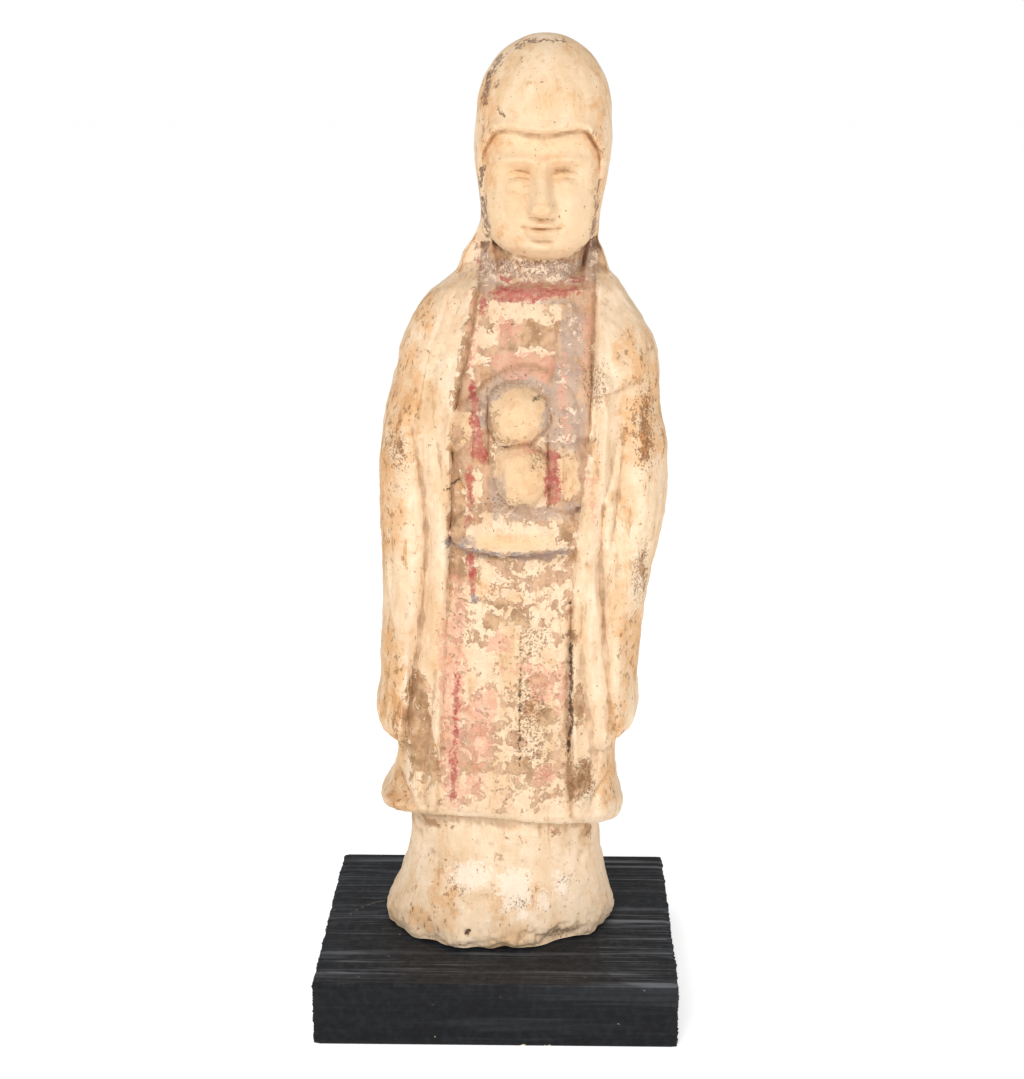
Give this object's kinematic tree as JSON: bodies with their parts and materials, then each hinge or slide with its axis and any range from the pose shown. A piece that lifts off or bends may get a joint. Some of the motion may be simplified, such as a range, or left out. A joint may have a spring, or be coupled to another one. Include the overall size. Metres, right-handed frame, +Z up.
{
  "type": "pottery attendant figure",
  "caption": "Standing mould-made pottery attendant in a hood and draped coat with hanging sleeves, both fists held at the chest, on a black-painted wooden block.",
  "frame": {"origin": "middle of the wooden block's underside", "axes": "+Z up, the figure faces -Y, +X towards the figure's left hand"},
  "size_m": [0.105, 0.089, 0.2793],
  "materials": {
    "pottery": "unglazed buff earthenware under worn cream slip, with traces of red, mauve and brown pigment and earth staining",
    "painted_wood": "matte black paint brushed along the grain, with rough sawn ends"
  },
  "bodies": {
    "root": {"attendant_figure": "pottery", "wooden_block": "painted_wood"}
  },
  "joints": []
}
